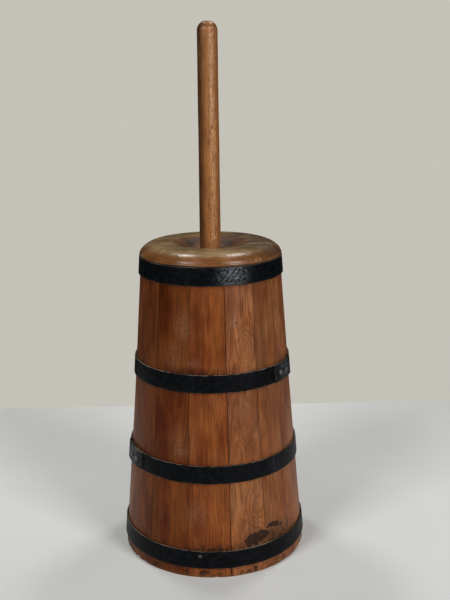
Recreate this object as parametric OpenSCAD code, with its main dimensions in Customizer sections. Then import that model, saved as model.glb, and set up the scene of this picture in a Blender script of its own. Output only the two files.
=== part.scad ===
// Upright dasher butter churn: a tapered tub of wooden staves held by four riveted iron hoops,
// a turned lid with a dished top, and a dasher whose staff slides through the lid.
// Real size in millimetres. The origin is the centre of the base on the floor, +Z is up and
// -Y is the front. Directions round the tub are counted from the front, positive to its right.

/* [Tub] */
// Outer radius of the tub at the floor
base_r = 130; // [110:1:150]
// Outer radius of the tub at the tops of the staves
rim_r = 96; // [84:0.5:108]
// Height of the tub's slight waist
waist_z = 240; // [200:5:250]
// How far the tub stands inside a straight taper at its waist
waist_in = 1.2; // [0:0.1:3]
// Height of the staves
stave_h = 424; // [360:1:480]
// Thickness of the wall, measured across
wall = 14; // [10:0.5:18]
// Width of each stave in degrees, from the first seam round to the right; they add up to 360
stave_w = [27.5, 26.5, 23.5, 21, 23.5, 23, 26, 23, 22, 25, 25, 24, 24, 22, 24];
// Direction of the first seam
first_seam = -44; // [-60:0.5:-30]
// Depth of the shallow groove that shows each seam
seam_depth = 0.6; // [0.2:0.1:1.5]
// Half the width of that groove, in degrees
seam_a = 0.2; // [0.1:0.05:0.5]
// Width of the open joint at the foot of the shrunken seam
gap_w = 1.4; // [0.4:0.1:2.5]
// Height at which that joint closes
gap_h = 120; // [20:1:200]
// Depth of that joint
gap_depth = 6; // [2:0.5:9]
// Bevel on the edges of the stave ends
stave_bevel = 1.5; // [0.5:0.1:3]
// Bevel inside the feet of the staves
foot_bevel = 4; // [1:0.5:6]

/* [Bottom] */
// Height of the underside of the bottom above the floor
head_z = 22; // [16:1:40]
// Thickness of the bottom boards
head_t = 14; // [10:0.5:18]
// Thickness of the bottom's edge, which sits in the groove of the staves
head_edge_t = 8; // [5:0.5:10]
// Width of the bevel round the underside of the bottom
head_bevel = 6; // [3:0.5:12]
// Depth of the groove in the staves
groove_d = 5; // [3:0.5:7]
// Room round the bottom's edge in the groove
head_play = 0.5; // [0.1:0.1:1]
// Width of the middle board
board_w = 80; // [60:1:100]
// Radius of the dowels that join the boards
dowel_r = 4; // [3:0.5:5]
// Length of the dowels
dowel_len = 36; // [20:1:50]
// Distance of the dowels from the middle of each joint
dowel_y = 50; // [30:1:70]

/* [Hoops] */
// Height of the lower edge of each hoop, from the bottom one up
hoop_z = [14.5, 134, 258, 399.5];
// Direction in which the outer end of each hoop's lap lies
lap_end = [135, -55.5, 50, -135];
// Side to which each lap runs from its outer end: 1 to the right, -1 to the left
lap_side = [1, -1, 1, -1];
// Width of the strap
hoop_w = 24; // [18:0.5:32]
// Thickness of the strap
hoop_t = 2.4; // [1.5:0.1:3.5]
// Bevel on the outer edges of the strap
hoop_bevel = 0.5; // [0.1:0.1:0.8]
// Gap between hoop and tub
hoop_play = 0.12; // [0.02:0.01:0.2]
// Length of the lap, in degrees
lap_a = 24; // [18:1:30]
// Length of the slope at the end of the lap, in degrees
ramp_a = 7; // [4:1:10]
// Distance of the first rivet from the lap's outer end, in degrees
rivet_a1 = 5.5; // [4:0.5:9]
// Distance of the second rivet from the lap's outer end, in degrees
rivet_a2 = 14; // [11:0.5:17]
// Radius of the rivet heads
rivet_head_r = 4; // [3:0.1:6]
// Height of the rivet heads
rivet_head_h = 1.3; // [0.8:0.1:2]
// Radius of the rivets
rivet_r = 2.2; // [1.5:0.1:3]
// Direction of the nail in the bottom hoop
nail_a = -9; // [-20:0.5:5]
// Height of the nail
nail_z = 32; // [18:0.5:36]
// Radius of the nail's head
nail_head_r = 2.8; // [2:0.1:4]
// Height of the nail's head
nail_head_h = 0.9; // [0.5:0.1:1.5]
// Radius of the nail
nail_r = 1.2; // [0.8:0.1:1.6]
// Length of the nail under its head
nail_len = 9; // [6:0.5:10]

/* [Lid] */
// Outer radius of the lid
lid_r = 98; // [90:0.5:110]
// Height of the lid above the staves
lid_h = 17; // [16:0.5:24]
// Gap between the lid and the tops of the staves
lid_play = 0.3; // [0.1:0.1:0.6]
// Radius of the bead round the lid's lower edge
bead_r = 1.8; // [1.4:0.1:2.4]
// Width of the rounded shoulder
shoulder_w = 23; // [18:0.5:28]
// How far the shoulder stands back from the bead
bead_set = 1; // [0.2:0.1:1.3]
// Height of the rounded shoulder
shoulder_h = 14.2; // [12:0.1:15]
// Radius of the shoulder's tight lower curve
shoulder_r = 7; // [6:0.5:10]
// Radius at which the flat crest turns into the dish
lip_r = 60; // [56:0.5:66]
// Radius of the rounded lip of the dish
lip_curve = 38; // [30:1:44]
// Steepest slope of the dish, in degrees
dish_slope = 40; // [30:1:44]
// Radius of the hollow of the dish
dish_curve = 30; // [24:1:34]
// Radius of the hole for the staff
hole_r = 17.2; // [15:0.1:20]
// Depth of the plug that sits in the mouth
plug_h = 12; // [6:0.5:20]
// Gap between plug and mouth
plug_play = 1.5; // [0.5:0.1:3]
// Bevel on the plug's lower edge
plug_bevel = 1.5; // [0.5:0.1:3]

/* [Dasher] */
// Height of the staff's end above the floor
staff_top = 731; // [640:1:800]
// Radius of the staff near its upper end
staff_top_r = 13.7; // [11:0.1:16]
// Radius of the staff at the foot
staff_foot_r = 15.8; // [13:0.1:17]
// Gap between the foot and the bottom of the tub
foot_play = 0.3; // [0.1:0.1:1]
// Radius of the curve of the rounded end
dome_r = 12.2; // [8:0.1:13]
// Half the length of the bars of the foot
bar_reach = 68; // [50:1:76]
// Width of the bars
bar_w = 38; // [28:1:48]
// Thickness of the bars
bar_t = 20; // [14:1:26]
// Bevel on the long upper edges of the bars
bar_bevel = 3; // [1:0.5:5]
// Radius of the staff's tenon
tenon_r = 11; // [8:0.5:13]
// Gap round the tenon
tenon_play = 0.1; // [0.05:0.05:0.3]
// Thickness of the wedge at the foot of the tenon
wedge_t = 4; // [2:0.5:6]
// Thickness of the wedge at its upper end
wedge_tip = 1.2; // [0.6:0.1:2]
// Height of the wedge
wedge_h = 17; // [10:1:19]

/* [Hidden] */
$fn = 144;
waist_r = base_r - (base_r - rim_r) * waist_z / stave_h - waist_in;
low_slope = (base_r - waist_r) / waist_z;
high_slope = (waist_r - rim_r) / (stave_h - waist_z);
past = 1;
pin_play = 0.05;

head_top = head_z + head_t;
groove_z = head_top - head_edge_t;
groove_r = inner_r(groove_z) + groove_d;
head_r = groove_r - head_play;
head_step_r = inner_r(groove_z) - head_play;

strap_deep = hoop_t * cos(atan(low_slope));
strap_join = 0.4;
lap_depth = 2 * strap_deep + hoop_play;
nail_seat = strap_deep + hoop_play + pin_play;

lid_z = stave_h + lid_play;
lid_top = stave_h + lid_h;
bead_x = lid_r - bead_r;
bead_z = lid_z + bead_r;
shoulder_x = lid_r - shoulder_w - bead_set;
shoulder_z = lid_top - shoulder_h;
lip_z = lid_top - lip_curve;
turn_r = lip_r - lip_curve * sin(dish_slope);
turn_z = lip_z + lip_curve * cos(dish_slope);
dish_r = turn_r - dish_curve * sin(dish_slope);
dish_z = turn_z + dish_curve * cos(dish_slope);
plug_r = inner_r(stave_h) - plug_play;
plug_z = stave_h - plug_h;

foot_z = head_top + foot_play;
foot_top = foot_z + bar_t;
dome_z = staff_top - dome_r;

wood = [0.46, 0.25, 0.14];
wood_dark = [0.36, 0.18, 0.10];
lid_wood = [0.48, 0.35, 0.20];
staff_wood = [0.66, 0.47, 0.28];
iron = [0.06, 0.06, 0.07];
rivet_iron = [0.30, 0.31, 0.32];

function slope_at(z) = z < waist_z ? low_slope : high_slope;
function taper_at(z) = atan(slope_at(z));
function outer_r(z) = waist_r + slope_at(z) * (waist_z - z);
function inner_r(z) = outer_r(z) - wall;
function seam(i) = i == 0 ? first_seam : seam(i - 1) + stave_w[i - 1];

// Turns what follows so that its +X side faces the direction a, counted from the front.
module facing(a) {
    rotate([0, 0, a - 90])
    children();
}

// Moves what follows onto the tub's surface at a height and direction, with +Z along the normal.
module on_tub(z, a) {
    facing(a)
    translate([outer_r(z), 0, z])
    rotate([0, 90 - taper_at(z), 0])
    children();
}

// Section of a stave, with the groove for the bottom.
module stave_section() {
    polygon([
        [inner_r(0) + foot_bevel, 0],
        [outer_r(0) - stave_bevel, 0],
        [outer_r(stave_bevel), stave_bevel],
        [waist_r, waist_z],
        [outer_r(stave_h - stave_bevel), stave_h - stave_bevel],
        [outer_r(stave_h) - stave_bevel, stave_h],
        [inner_r(stave_h) + stave_bevel, stave_h],
        [inner_r(stave_h - stave_bevel), stave_h - stave_bevel],
        [inner_r(waist_z), waist_z],
        [inner_r(head_top), head_top],
        [groove_r, head_top],
        [groove_r, groove_z],
        [inner_r(groove_z), groove_z],
        [inner_r(foot_bevel), foot_bevel]
    ]);
}

// Moves what follows to the foot of the tub's +X side, with +Z up along its outside.
module up_side() {
    translate([base_r, 0, 0])
    rotate([0, -taper_at(0), 0])
    children();
}

// Shallow groove up the outside of the tub's +X side, where a seam shows.
module seam_groove() {
    low = outer_r(-past);
    high = outer_r(stave_h + past);
    rotate([0, 0, -seam_a])
    rotate_extrude(angle = 2 * seam_a)
    polygon([
        [low - seam_depth, -past],
        [low + past, -past],
        [waist_r + past, waist_z],
        [high + past, stave_h + past],
        [high - seam_depth, stave_h + past],
        [waist_r - seam_depth, waist_z]
    ]);
}

// The joint that has opened at the foot of one seam.
module open_joint(a) {
    facing(a)
    up_side()
    translate([-gap_depth, 0, 0])
    rotate([90, 0, 90])
    linear_extrude(gap_depth + past)
    polygon([
        [-gap_w / 2, -past],
        [gap_w / 2, -past],
        [0, gap_h]
    ]);
}

// Shank of the nail, which reaches a given length past its head's underside.
module nail_shank(play, reach) {
    on_tub(nail_z, nail_a)
    translate([0, 0, nail_seat - nail_len])
    cylinder(r = nail_r + play, h = nail_len + reach);
}

module stave(i) {
    facing(seam(i))
    difference() {
        rotate_extrude(angle = stave_w[i])
        stave_section();
        seam_groove();
        rotate([0, 0, stave_w[i]])
        seam_groove();
    }
}

// The board of the bottom that lies between two distances from the centre line.
module head_board(x_from, x_to) {
    difference() {
        intersection() {
            rotate_extrude()
            polygon([
                [0, head_z],
                [head_step_r - head_bevel, head_z],
                [head_step_r, groove_z],
                [head_r, groove_z],
                [head_r, head_top],
                [0, head_top]
            ]);
            translate([x_from, -base_r, 0])
            cube([x_to - x_from, 2 * base_r, stave_h]);
        }
        dowels(pin_play);
    }
}

module dowels(play) {
    for (side = [-1, 1])
        for (along = [-1, 1])
            translate([
                side * board_w / 2 - dowel_len / 2 - play,
                along * dowel_y,
                head_z + head_t / 2
            ])
            rotate([0, 90, 0])
            cylinder(r = dowel_r + play, h = dowel_len + 2 * play);
}

// Section of the strap, in layers out from the tub; inward is how far it reaches into the layer below.
module strap_section(z, layer, inward) {
    low = outer_r(z) + hoop_play + layer * hoop_t;
    high = outer_r(z + hoop_w) + hoop_play + layer * hoop_t;
    polygon([
        [low - inward, z],
        [low + hoop_t - hoop_bevel, z],
        [low + hoop_t - slope_at(z) * hoop_bevel, z + hoop_bevel],
        [high + hoop_t + slope_at(z) * hoop_bevel, z + hoop_w - hoop_bevel],
        [high + hoop_t - hoop_bevel, z + hoop_w],
        [high - inward, z + hoop_w]
    ]);
}

// Slope where the outer end of the strap comes down onto the tub, beyond the lap.
module lap_ramp(z, side) {
    low = outer_r(z) + hoop_play;
    intersection() {
        translate([low, 0, z])
        rotate([0, -taper_at(z), 0])
        translate([0, 0, -past])
        linear_extrude(hoop_w + 2 * past)
        polygon([
            [hoop_t / 2, -side * past],
            [2 * hoop_t, -side * past],
            [2 * hoop_t, 0],
            [
                (low + hoop_t) * cos(ramp_a) - low,
                side * (low + hoop_t) * sin(ramp_a)
            ],
            [
                (low + hoop_t / 2) * cos(ramp_a) - low,
                side * (low + hoop_t / 2) * sin(ramp_a)
            ]
        ]);
        translate([0, 0, z + hoop_w / 2])
        cube([2 * base_r + 4 * hoop_t, 2 * base_r, hoop_w], center = true);
    }
}

module rivet_holes(n) {
    for (a = [rivet_a1, rivet_a2])
        on_tub(hoop_z[n] + hoop_w / 2, lap_end[n] + lap_side[n] * a)
        translate([0, 0, -past])
        cylinder(r = rivet_r + pin_play, h = lap_depth + 2 * past);
}

module hoop(n) {
    z = hoop_z[n];
    side = lap_side[n];
    lap_from = side > 0 ? lap_end[n] : lap_end[n] - lap_a;
    difference() {
        union() {
            rotate_extrude()
            strap_section(z, 0, 0);
            facing(lap_from)
            rotate_extrude(angle = lap_a)
            strap_section(z, 1, strap_join);
            facing(lap_end[n] + side * lap_a)
            lap_ramp(z, side);
        }
        rivet_holes(n);
    }
}

// A low domed head, standing on the plane z = 0.
module head_dome(r, h) {
    ball_r = (r * r + h * h) / (2 * h);
    intersection() {
        translate([0, 0, h - ball_r])
        sphere(r = ball_r);
        cylinder(r = r, h = h);
    }
}

module rivets(n) {
    for (a = [rivet_a1, rivet_a2])
        on_tub(hoop_z[n] + hoop_w / 2, lap_end[n] + lap_side[n] * a) {
            translate([0, 0, hoop_play])
            cylinder(r = rivet_r, h = lap_depth);
            translate([0, 0, lap_depth + pin_play])
            head_dome(rivet_head_r, rivet_head_h);
        }
}

// Quarter of an oval made of two arcs: w wide, h high, with a tight curve of radius r at its side.
module oval_quarter(w, h, r) {
    wide = ((w - r) * (w - r) + h * h - r * r) / (2 * (h - r));
    steep = atan2(wide - h, w - r);
    meet_x = (w - r) + r * cos(steep);
    meet_y = r * sin(steep);
    polygon([[0, 0], [w - r, 0], [meet_x, meet_y], [0, h]]);
    intersection() {
        translate([w - r, 0])
        circle(r = r);
        square([w, h]);
    }
    intersection() {
        translate([0, h - wide])
        circle(r = wide);
        polygon([[0, 0], [w - r, 0], [meet_x, meet_y], [meet_x, h], [0, h]]);
    }
}

module lid_section() {
    difference() {
        union() {
            polygon([
                [hole_r, plug_z],
                [plug_r - plug_bevel, plug_z],
                [plug_r, plug_z + plug_bevel],
                [plug_r, lid_z],
                [bead_x, lid_z],
                [bead_x, shoulder_z],
                [shoulder_x, shoulder_z],
                [shoulder_x, lid_top],
                [lip_r, lid_top],
                [turn_r, turn_z],
                [hole_r, turn_z]
            ]);
            translate([bead_x, bead_z])
            circle(r = bead_r);
            translate([shoulder_x, shoulder_z])
            oval_quarter(shoulder_w, shoulder_h, shoulder_r);
            intersection() {
                translate([lip_r, lip_z])
                circle(r = lip_curve);
                polygon([[turn_r, turn_z], [lip_r, turn_z], [lip_r, lid_top], [turn_r, lid_top]]);
            }
        }
        translate([dish_r, dish_z])
        circle(r = dish_curve);
    }
}

// The slot in the tenon, which the wedge fills.
module wedge_space() {
    translate([0, tenon_r + past, foot_z])
    rotate([90, 0, 0])
    linear_extrude(2 * (tenon_r + past))
    polygon([
        [-wedge_t / 2, 0],
        [wedge_t / 2, 0],
        [wedge_tip / 2, wedge_h],
        [-wedge_tip / 2, wedge_h]
    ]);
}

// Half the section of the rounded end, with a small flat at its top.
module dome_section() {
    square([staff_top_r - dome_r, dome_r]);
    translate([staff_top_r - dome_r, 0])
    intersection() {
        circle(r = dome_r);
        square(dome_r);
    }
}

module staff_body() {
    translate([0, 0, foot_top])
    cylinder(r1 = staff_foot_r, r2 = staff_top_r, h = dome_z - foot_top);
    translate([0, 0, dome_z])
    rotate_extrude()
    dome_section();
    difference() {
        translate([0, 0, foot_z])
        cylinder(r = tenon_r, h = bar_t + past);
        wedge_space();
    }
}

// One bar of the foot, along X, with rounded ends and its upper long edges bevelled.
module bar_blank() {
    intersection() {
        translate([-bar_reach, 0, foot_z])
        rotate([90, 0, 90])
        linear_extrude(2 * bar_reach)
        polygon([
            [-bar_w / 2, 0],
            [bar_w / 2, 0],
            [bar_w / 2, bar_t - bar_bevel],
            [bar_w / 2 - bar_bevel, bar_t],
            [-bar_w / 2 + bar_bevel, bar_t],
            [-bar_w / 2, bar_t - bar_bevel]
        ]);
        translate([0, 0, foot_z - past])
        cylinder(r = bar_reach, h = bar_t + 2 * past);
    }
}

// The bar halved at its middle; cut_z is the height at which the halving notch starts.
module foot_bar(cut_z) {
    difference() {
        bar_blank();
        translate([-bar_w / 2, -bar_w, cut_z])
        cube([bar_w, 2 * bar_w, bar_t / 2 + past]);
        translate([0, 0, foot_z - past])
        cylinder(r = tenon_r + tenon_play, h = bar_t + 2 * past);
    }
}

module stave_1() {
    color(wood)
    stave(0);
}

// This stave takes the nail of the bottom hoop, and its right edge has opened at the foot.
module stave_2() {
    color(wood)
    difference() {
        stave(1);
        nail_shank(pin_play, past);
        open_joint(seam(2));
    }
}

module stave_3() {
    color(wood)
    difference() {
        stave(2);
        open_joint(seam(2));
    }
}

module stave_4() {
    color(wood)
    stave(3);
}

module stave_5() {
    color(wood)
    stave(4);
}

module stave_6() {
    color(wood)
    stave(5);
}

module stave_7() {
    color(wood)
    stave(6);
}

module stave_8() {
    color(wood)
    stave(7);
}

module stave_9() {
    color(wood)
    stave(8);
}

module stave_10() {
    color(wood)
    stave(9);
}

module stave_11() {
    color(wood)
    stave(10);
}

module stave_12() {
    color(wood)
    stave(11);
}

module stave_13() {
    color(wood)
    stave(12);
}

module stave_14() {
    color(wood)
    stave(13);
}

module stave_15() {
    color(wood)
    stave(14);
}

module head_middle() {
    color(wood_dark)
    head_board(-board_w / 2, board_w / 2);
}

module head_left() {
    color(wood_dark)
    head_board(-base_r, -board_w / 2);
}

module head_right() {
    color(wood_dark)
    head_board(board_w / 2, base_r);
}

module head_dowels() {
    color(staff_wood)
    dowels(0);
}

module hoop_bottom() {
    color(iron)
    difference() {
        hoop(0);
        nail_shank(pin_play, past);
    }
}

module hoop_lower() {
    color(iron)
    hoop(1);
}

module hoop_upper() {
    color(iron)
    hoop(2);
}

module hoop_top() {
    color(iron)
    hoop(3);
}

module rivets_bottom() {
    color(rivet_iron)
    rivets(0);
}

module rivets_lower() {
    color(rivet_iron)
    rivets(1);
}

module rivets_upper() {
    color(rivet_iron)
    rivets(2);
}

module rivets_top() {
    color(rivet_iron)
    rivets(3);
}

module hoop_nail() {
    color(rivet_iron) {
        nail_shank(0, 0);
        on_tub(nail_z, nail_a)
        translate([0, 0, nail_seat])
        head_dome(nail_head_r, nail_head_h);
    }
}

module lid() {
    color(lid_wood)
    rotate_extrude()
    lid_section();
}

module staff() {
    color(staff_wood)
    staff_body();
}

// The bar that runs from left to right; the other bar lies in the notch in its top.
module foot_bar_lower() {
    color(wood)
    foot_bar(foot_z + bar_t / 2);
}

// The bar that runs from front to back, notched underneath.
module foot_bar_upper() {
    color(wood)
    rotate([0, 0, 90])
    foot_bar(foot_z - past);
}

module foot_wedge() {
    color(wood_dark)
    intersection() {
        wedge_space();
        translate([0, 0, foot_z])
        cylinder(r = tenon_r, h = bar_t);
    }
}

stave_1();
stave_2();
stave_3();
stave_4();
stave_5();
stave_6();
stave_7();
stave_8();
stave_9();
stave_10();
stave_11();
stave_12();
stave_13();
stave_14();
stave_15();
head_middle();
head_left();
head_right();
head_dowels();
hoop_bottom();
hoop_lower();
hoop_upper();
hoop_top();
rivets_bottom();
rivets_lower();
rivets_upper();
rivets_top();
hoop_nail();
lid();
staff();
foot_bar_lower();
foot_bar_upper();
foot_wedge();
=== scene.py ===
"""Looks of the dasher butter churn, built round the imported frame. Lengths are in metres.

Directions round the tub are in degrees from the front (-Y), positive to its right (+X).
"""

import math

import bmesh
import bpy
from mathutils import Matrix, Vector, noise


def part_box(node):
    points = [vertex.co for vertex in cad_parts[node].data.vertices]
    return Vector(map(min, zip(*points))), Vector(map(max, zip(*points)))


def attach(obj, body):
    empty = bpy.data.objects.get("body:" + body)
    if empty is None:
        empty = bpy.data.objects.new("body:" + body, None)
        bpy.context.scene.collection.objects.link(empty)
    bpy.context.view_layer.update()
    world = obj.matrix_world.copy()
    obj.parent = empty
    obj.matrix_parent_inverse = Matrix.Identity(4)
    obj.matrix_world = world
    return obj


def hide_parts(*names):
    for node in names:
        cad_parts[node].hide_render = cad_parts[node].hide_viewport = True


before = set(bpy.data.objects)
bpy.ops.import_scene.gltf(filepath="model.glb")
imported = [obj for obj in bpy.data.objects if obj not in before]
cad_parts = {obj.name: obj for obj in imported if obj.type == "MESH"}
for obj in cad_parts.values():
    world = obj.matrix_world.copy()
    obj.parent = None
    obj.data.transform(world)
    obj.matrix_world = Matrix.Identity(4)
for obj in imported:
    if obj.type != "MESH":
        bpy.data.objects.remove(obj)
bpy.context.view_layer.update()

MM = 0.001

# ---------------------------------------------------------------- driving dimensions

BASE_R = 130 * MM
RIM_R = 96 * MM
WALL = 14 * MM
TUB_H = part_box("stave_1")[1].z
WAIST_Z, WAIST_IN = 240 * MM, 1.2 * MM
WAIST_R = BASE_R - (BASE_R - RIM_R) * WAIST_Z / TUB_H - WAIST_IN
LOW_SLOPE = (BASE_R - WAIST_R) / WAIST_Z
HIGH_SLOPE = (WAIST_R - RIM_R) / (TUB_H - WAIST_Z)

HEAD_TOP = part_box("head_middle")[1].z
GROOVE_H = 8 * MM
GROOVE_DEPTH = 5 * MM
FOOT_BEVEL = 4 * MM
END_ROUND = 1.5 * MM
EDGE_ROUND = 0.55 * MM
GAP_W = 1.4 * MM
GAP_H = 120 * MM

STRAP_W = 24 * MM
STRAP_T = 2.4 * MM
STRAP_PLAY = 0.12 * MM
# The lap's length, its ramp, and the places of the rivets and the nail are in degrees.
LAP = 24.0
LAP_RAMP = 7.0
# Each hoop: direction of its lap's outer end, side to which the lap runs, and its rivets.
HOOPS = {
    "hoop_bottom": (135.0, 1, "rivets_bottom"),
    "hoop_lower": (-55.5, -1, "rivets_lower"),
    "hoop_upper": (50.0, 1, "rivets_upper"),
    "hoop_top": (-135.0, -1, "rivets_top"),
}
RIVET_AT = (5.5, 14.0)
# Where each hoop's paint is painted a pale grey, partly a painted highlight (as on the top hoop at the
# front) and partly worn paint (as on the laps): direction, half width and strength.
HIGHLIGHTS_AND_WEAR = {
    "hoop_bottom": [(150, 30, 0.35)],
    "hoop_lower": [(-66, 13, 0.55), (44, 10, 0.12)],
    "hoop_upper": [(63, 15, 0.5), (-150, 25, 0.3)],
    "hoop_top": [(17, 17, 1.0), (-140, 20, 0.4)],
}
NAIL_AT = -9.0
NAIL_Z = 32 * MM
HOOP_LOWS = [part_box(name)[0].z for name in HOOPS]

LID_LOW, LID_TOP = (corner.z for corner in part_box("lid"))
LID_R = 98 * MM
LID_PLAY = 0.3 * MM
BEAD_R, BEAD_SET = 1.8 * MM, 1 * MM
SHOULDER_W, SHOULDER_H, SHOULDER_R = 23 * MM, 14.2 * MM, 7 * MM
SHOULDER_X = LID_R - SHOULDER_W - BEAD_SET
LIP_R, LIP_CURVE = 60 * MM, 38 * MM
DISH_SLOPE, DISH_CURVE = math.radians(40), 30 * MM
HOLE_R = 17.2 * MM
PLUG_R = RIM_R - WALL - 1.5 * MM

STAFF_LOW, STAFF_TOP = (corner.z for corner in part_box("staff"))
STAFF_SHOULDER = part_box("foot_bar_lower")[1].z
STAFF_TOP_R, STAFF_FOOT_R = 13.7 * MM, 15.8 * MM
DOME_R = 12.2 * MM
TENON_R = 11 * MM
WEDGE_H, WEDGE_FOOT, WEDGE_TIP = 17 * MM, 4 * MM, 1.2 * MM

TUB, LID, DASHER = "tub", "lid", "dasher"

EYE = Vector((0, -1.2186, 0.6625))
EYE_YAW, EYE_PITCH, EYE_ROLL = (math.radians(turn) for turn in (0.908, 14.10, -0.651))
LENS, SENSOR_W = 53.8, 36
# Each lamp: direction, distance, lower and upper edge if upright, width, power in watts and colour.
LAMPS = {
    "key": (40, 3.2, 0.2, 2.8, 1.2, 76, (1.0, 0.99, 0.98)),
    "fill": (-42, 3.2, 1.1, 3.3, 1.3, 66, (0.98, 0.985, 1.0)),
    "lamp_left": (-140, 0.95, 2.2, 2.55, 0.34, 10, (1.0, 0.99, 0.97)),
    "lamp_right": (140, 0.95, 2.2, 2.55, 0.34, 10, (1.0, 0.99, 0.97)),
}
LAMPS_FACE = Vector((0, 0, 0.3))
FLOOR_HALF, FLOOR_FRONT, FLOOR_BACK = 0.9, -0.9, 0.53


def slope_at(z):
    """How much the tub's radius shrinks with height, below and above its waist."""
    return LOW_SLOPE if z < WAIST_Z else HIGH_SLOPE


def outer_r(z):
    """Radius of the outside of the tub at a height."""
    return WAIST_R + slope_at(z) * (WAIST_Z - z)


def at(degrees, radius, z):
    """The point at a direction, radius and height."""
    a = math.radians(degrees)
    return Vector((radius * math.sin(a), -radius * math.cos(a), z))


def direction_of(p):
    """The direction of a point, the inverse of at()."""
    return math.degrees(math.atan2(p.x, -p.y))


def lumps(place, size, seed=0):
    """Smooth noise, mostly between -0.7 and 0.7, whose lumps are about size across."""
    return noise.noise(place / size + Vector((seed * 17.3, seed * 31.1, seed * 5.7)))


def ease(value):
    """A value held between 0 and 1, with level ends."""
    value = min(max(value, 0.0), 1.0)
    return value * value * (3 - 2 * value)


def rounding(distance, radius):
    """How far a rounded edge lies below the sharp one, at a distance from its side."""
    if distance >= radius:
        return 0.0
    return radius - math.sqrt(max(radius * radius - (radius - distance) ** 2, 0.0))


# ---------------------------------------------------------------- mesh making


def new_piece(name, points, faces, material, body, nodes, sharp=40):
    """A mesh piece that rides on a body, stands for CAD nodes and takes a material."""
    mesh = bpy.data.meshes.new(name)
    mesh.from_pydata([tuple(p) for p in points], [], faces)
    mesh.validate()
    mesh.shade_smooth()
    mesh.set_sharp_from_angle(angle=math.radians(sharp))
    mesh.materials.append(material)
    piece = bpy.data.objects.new(name, mesh)
    bpy.context.scene.collection.objects.link(piece)
    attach(piece, body)
    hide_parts(*nodes)
    return piece


def give(piece, name, vectors):
    """Stores one vector at each vertex, for the material to read."""
    layer = piece.data.attributes.new(name, "FLOAT_VECTOR", "POINT")
    layer.data.foreach_set("vector", [c for v in vectors for c in v])


def skin(rings, around, closed):
    """Faces between rings of points; if closed, the last ring is joined to the first."""
    faces = []
    for i in range(rings if closed else rings - 1):
        low, high = i * around, (i + 1) % rings * around
        for j in range(around):
            k = (j + 1) % around
            faces.append((low + j, low + k, high + k, high + j))
    return faces


def turned(profile, around, wobble):
    """A closed turned shape. The profile goes anticlockwise, as (radius, height).

    It either starts and ends on the axis, or keeps clear of it and closes on itself.
    """
    solid = profile[0][0] < 1e-9
    rings = profile[1:-1] if solid else profile
    points = [wobble(at(360 * j / around, r, z)) for r, z in rings for j in range(around)]
    faces = skin(len(rings), around, not solid)
    if solid:
        foot, last = len(points), (len(rings) - 1) * around
        points += [Vector((0, 0, profile[0][1])), Vector((0, 0, profile[-1][1]))]
        for j in range(around):
            k = (j + 1) % around
            faces.append((foot, k, j))
            faces.append((foot + 1, last + j, last + k))
    return points, faces


def arc(centre, radius, start, end, steps):
    """Points along an arc of a section. Angles are in degrees, anticlockwise from outward."""
    turns = [math.radians(start + (end - start) * i / steps) for i in range(steps + 1)]
    return [(centre[0] + radius * math.cos(t), centre[1] + radius * math.sin(t)) for t in turns]


def line(start, end, steps):
    """Points along a straight stretch of a section, without its two ends."""
    return [
        (start[0] + (end[0] - start[0]) * i / steps, start[1] + (end[1] - start[1]) * i / steps)
        for i in range(1, steps)
    ]


# ---------------------------------------------------------------- node materials


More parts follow.
